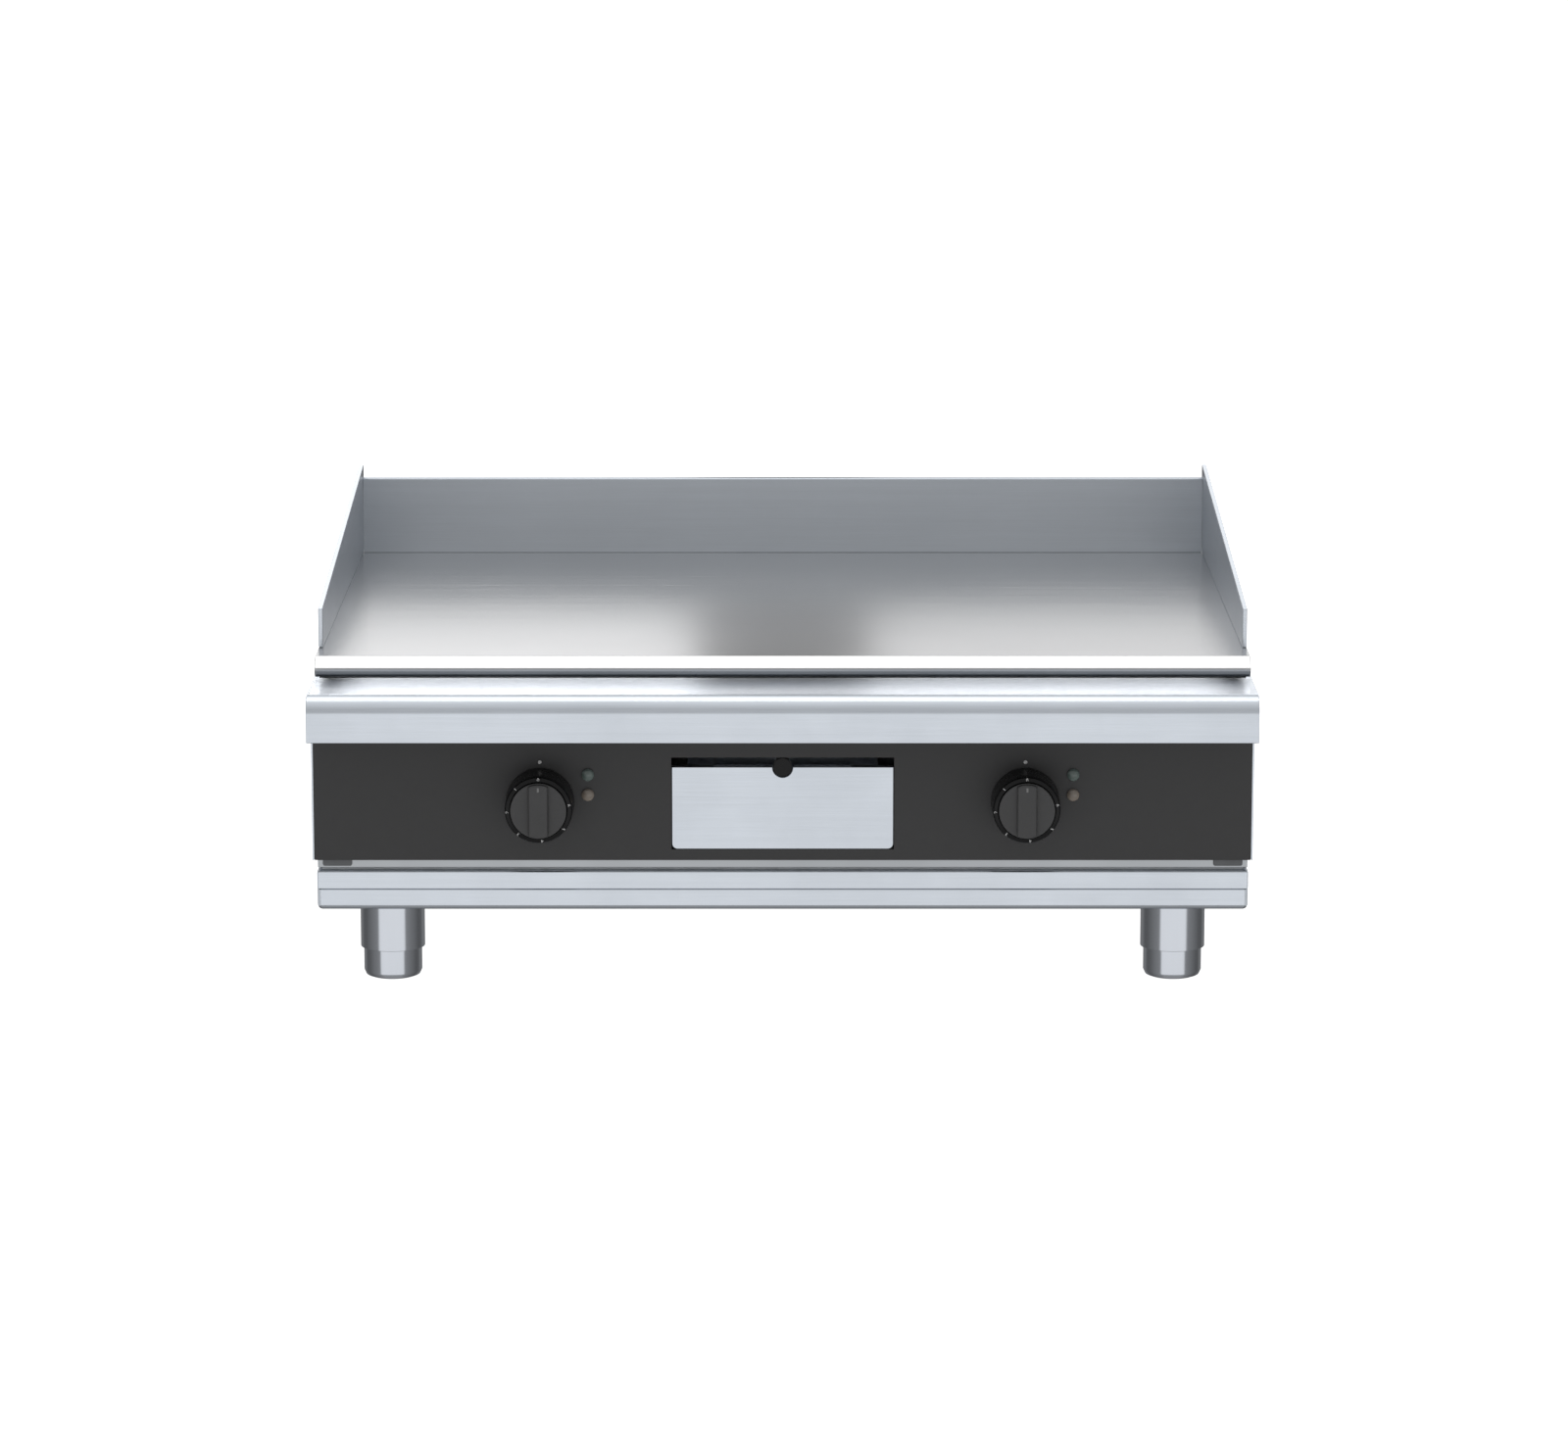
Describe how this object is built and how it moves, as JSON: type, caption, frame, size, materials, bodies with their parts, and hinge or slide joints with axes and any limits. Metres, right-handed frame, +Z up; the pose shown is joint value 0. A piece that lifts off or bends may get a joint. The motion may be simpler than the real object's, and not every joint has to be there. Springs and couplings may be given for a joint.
{
  "type": "flat top griddle",
  "caption": "Electric bench griddle: thick flat plate with side guards and splashback, bullnose hob, fascia with thermostat knobs and a central grease drawer, levelling legs.",
  "frame": {"origin": "on the bench, under the centre of the bounding box; Z = 0 is the underside of the levelling feet", "axes": "+Z up, +X to the user's right, the user stands on the -Y side facing +Y"},
  "size_m": [0.9, 0.8055, 0.4045],
  "materials": {
    "stainless": "fine brushed stainless sheet",
    "guard_steel": "brushed stainless, slightly darker in the splash zone",
    "plate_steel": "ground and polished cooking plate",
    "enamel": "matt charcoal enamel",
    "black_plastic": "moulded black phenolic, satin",
    "zinc_steel": "zinc plated steel",
    "ceramic_fibre": "matt ceramic fibre blanket",
    "element_sheath": "heat-darkened nickel alloy sheath",
    "copper": "drawn copper capillary",
    "cream_plastic": "moulded cream thermoset",
    "red_plastic": "moulded red",
    "green_lens": "unlit green lamp lens",
    "amber_lens": "unlit amber lamp lens"
  },
  "bodies": {
    "root": {"hob": "stainless", "griddle_plate": "plate_steel", "left_splash_guard": "guard_steel", "right_splash_guard": "guard_steel", "rear_splashback": "guard_steel", "control_panel": "enamel", "left_side_panel": "stainless", "right_side_panel": "stainless", "rear_panel": "stainless", "chassis_pan": "stainless", "left_chassis_wall": "zinc_steel", "right_chassis_wall": "zinc_steel", "left_panel_hook": "black_plastic", "right_panel_hook": "black_plastic", "base_cover": "stainless", "base_pan": "stainless", "front_left_leg": "stainless", "front_right_leg": "stainless", "rear_left_leg": "stainless", "rear_right_leg": "stainless", "drawer_housing": "zinc_steel", "drawer_catch": "black_plastic", "grease_chute": "stainless", "left_thermostat": "cream_plastic", "right_thermostat": "cream_plastic", "left_capillary": "copper", "right_capillary": "copper", "left_power_lamp": "green_lens", "left_heat_lamp": "amber_lens", "right_power_lamp": "green_lens", "right_heat_lamp": "amber_lens", "left_element": "element_sheath", "right_element": "element_sheath", "left_element_clamp": "zinc_steel", "right_element_clamp": "zinc_steel", "insulation_blanket": "ceramic_fibre", "heat_shield": "zinc_steel", "left_contactor": "cream_plastic", "right_contactor": "cream_plastic", "terminal_block": "cream_plastic", "cable_gland": "black_plastic", "equipotential_stud": "zinc_steel", "overtemperature_cutout": "cream_plastic"},
    "drawer": {"drawer_front": "stainless", "grease_drawer": "stainless"},
    "left_knob": {"left_knob": "black_plastic", "left_dial_ring": "black_plastic", "left_spindle": "zinc_steel"},
    "right_knob": {"right_knob": "black_plastic", "right_dial_ring": "black_plastic", "right_spindle": "zinc_steel"},
    "reset_button": {"reset_button": "red_plastic"},
    "front_left_stem": {"front_left_foot_stem": "zinc_steel"},
    "front_right_stem": {"front_right_foot_stem": "zinc_steel"},
    "rear_left_stem": {"rear_left_foot_stem": "zinc_steel"},
    "rear_right_stem": {"rear_right_foot_stem": "zinc_steel"},
    "front_left_cup": {"front_left_foot": "stainless"},
    "front_right_cup": {"front_right_foot": "stainless"},
    "rear_left_cup": {"rear_left_foot": "stainless"},
    "rear_right_cup": {"rear_right_foot": "stainless"}
  },
  "joints": [
    {"name": "drawer_slide", "type": "slide", "parent": "root", "child": "drawer", "axis": [0, -1, 0], "range_m": [0, 0.27]},
    {"name": "left_knob_turn", "type": "hinge", "parent": "root", "child": "left_knob", "pos_m": [-0.2314, -0.3525, 0.1808], "axis": [0, 1, 0], "range_deg": [0, 280]},
    {"name": "right_knob_turn", "type": "hinge", "parent": "root", "child": "right_knob", "pos_m": [0.2314, -0.3525, 0.1808], "axis": [0, 1, 0], "range_deg": [0, 280]},
    {"name": "reset_press", "type": "slide", "parent": "root", "child": "reset_button", "axis": [0, -1, 0], "range_m": [0, 0.002], "stiffness_N_per_m": 1000, "springref_m": -0.001},
    {"name": "front_left_foot_travel", "type": "slide", "parent": "root", "child": "front_left_stem", "axis": [0, 0, -1], "range_m": [0, 0.02]},
    {"name": "front_right_foot_travel", "type": "slide", "parent": "root", "child": "front_right_stem", "axis": [0, 0, -1], "range_m": [0, 0.02]},
    {"name": "rear_left_foot_travel", "type": "slide", "parent": "root", "child": "rear_left_stem", "axis": [0, 0, -1], "range_m": [0, 0.02]},
    {"name": "rear_right_foot_travel", "type": "slide", "parent": "root", "child": "rear_right_stem", "axis": [0, 0, -1], "range_m": [0, 0.02]},
    {"name": "front_left_foot_screw", "type": "hinge", "parent": "front_left_stem", "child": "front_left_cup", "pos_m": [-0.3767, -0.3025, 0], "axis": [0, 0, -1], "range_deg": [0, 4114]},
    {"name": "front_right_foot_screw", "type": "hinge", "parent": "front_right_stem", "child": "front_right_cup", "pos_m": [0.3767, -0.3025, 0], "axis": [0, 0, -1], "range_deg": [0, 4114]},
    {"name": "rear_left_foot_screw", "type": "hinge", "parent": "rear_left_stem", "child": "rear_left_cup", "pos_m": [-0.3767, 0.3025, 0], "axis": [0, 0, -1], "range_deg": [0, 4114]},
    {"name": "rear_right_foot_screw", "type": "hinge", "parent": "rear_right_stem", "child": "rear_right_cup", "pos_m": [0.3767, 0.3025, 0], "axis": [0, 0, -1], "range_deg": [0, 4114]}
  ],
  "couplings": [
    {"joint": "front_left_foot_travel", "follows": "front_left_foot_screw", "m_per_rad": 0.00027852},
    {"joint": "front_right_foot_travel", "follows": "front_right_foot_screw", "m_per_rad": 0.00027852},
    {"joint": "rear_left_foot_travel", "follows": "rear_left_foot_screw", "m_per_rad": 0.00027852},
    {"joint": "rear_right_foot_travel", "follows": "rear_right_foot_screw", "m_per_rad": 0.00027852}
  ]
}
